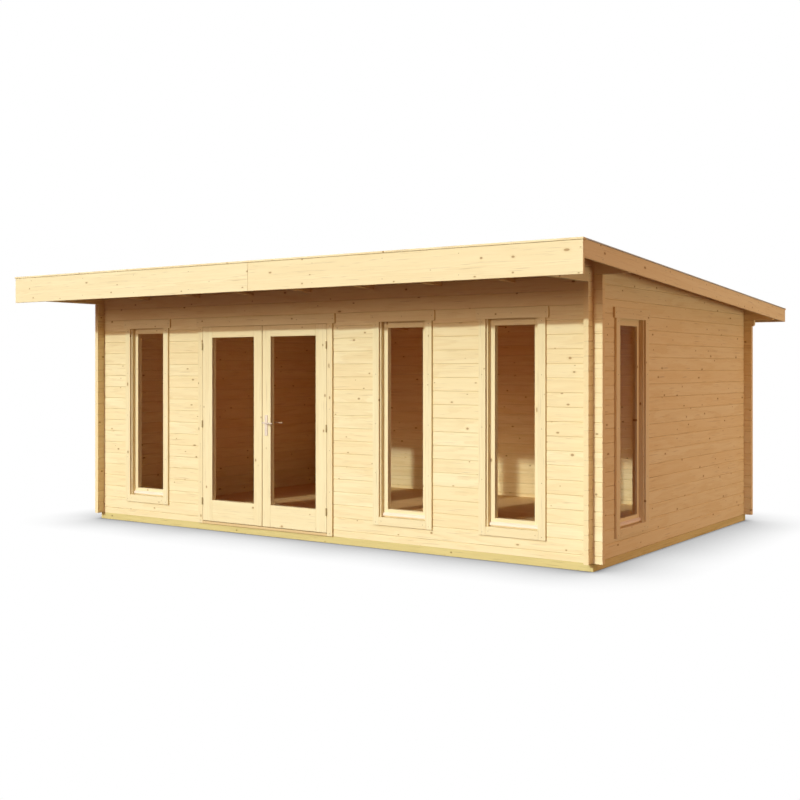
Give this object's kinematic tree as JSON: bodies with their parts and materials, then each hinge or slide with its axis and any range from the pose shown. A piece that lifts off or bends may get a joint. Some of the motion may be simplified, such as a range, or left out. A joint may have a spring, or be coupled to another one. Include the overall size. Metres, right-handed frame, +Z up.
{
  "type": "garden office cabin",
  "caption": "Single-room timber cabin of interlocking logs with crossed corners, a shallow lean-to roof with deep front overhang, glazed double doors and tall narrow windows.",
  "frame": {"origin": "on the ground under the middle of the roof's outline", "axes": "+X to the right along the front, +Y from the front to the back, +Z up"},
  "size_m": [6.456, 4.587, 2.5023],
  "materials": {
    "logs": "planed untreated spruce",
    "planed_timber": "planed spruce boards",
    "joinery": "smooth planed spruce",
    "roof_timber": "sawn spruce",
    "floor_timber": "tongued spruce boards",
    "treated_timber": "pressure treated",
    "felt": "mineral roofing felt",
    "glass": "clear glazing",
    "steel": "zinc plated",
    "handle_metal": "satin"
  },
  "bodies": {
    "cabin": {"front_wall_left": "logs", "front_wall_right": "logs", "front_wall_top": "logs", "back_wall": "logs", "left_wall": "logs", "right_wall": "logs", "left_wall_top": "logs", "right_wall_top": "logs", "long_bearers": "treated_timber", "side_bearers": "treated_timber", "floor_joists": "treated_timber", "floor_boards": "floor_timber", "rafters": "roof_timber", "roof_boards": "roof_timber", "roof_felt": "felt", "front_fascia_left": "planed_timber", "front_fascia_right": "planed_timber", "left_bargeboard": "planed_timber", "right_bargeboard": "planed_timber", "back_fascia": "planed_timber", "front_edge_strip": "planed_timber", "back_edge_strip": "planed_timber", "side_edge_strips": "steel", "window_casings": "joinery", "window_sashes": "joinery", "window_panes": "glass", "window_side_trims": "planed_timber", "window_head_trims": "planed_timber", "window_sill_trims": "planed_timber", "door_jambs": "joinery", "door_head": "joinery", "door_threshold": "joinery", "door_side_trims": "planed_timber", "door_head_trim": "planed_timber", "hinge_pins": "steel"},
    "left_door": {"left_leaf": "joinery", "left_leaf_glass": "glass", "left_hinge_knuckles": "steel"},
    "right_door": {"right_leaf": "joinery", "right_leaf_glass": "glass", "right_hinge_knuckles": "steel", "handle_plates": "handle_metal"},
    "door_handle": {"handle_lever": "handle_metal"}
  },
  "joints": [
    {"name": "left_door_hinge", "type": "hinge", "parent": "cabin", "child": "left_door", "pos_m": [-1.36774, -1.5215, 0.093], "axis": [0, 0, -1], "range_deg": [0, 170]},
    {"name": "right_door_hinge", "type": "hinge", "parent": "cabin", "child": "right_door", "pos_m": [0.21626, -1.5215, 0.093], "axis": [0, 0, 1], "range_deg": [0, 170]},
    {"name": "handle_turn", "type": "hinge", "parent": "right_door", "child": "door_handle", "pos_m": [-0.51974, -1.4925, 1.07], "axis": [0, 1, 0], "range_deg": [0, 40], "stiffness_Nm_per_rad": 0.8, "springref_deg": -22.92}
  ]
}
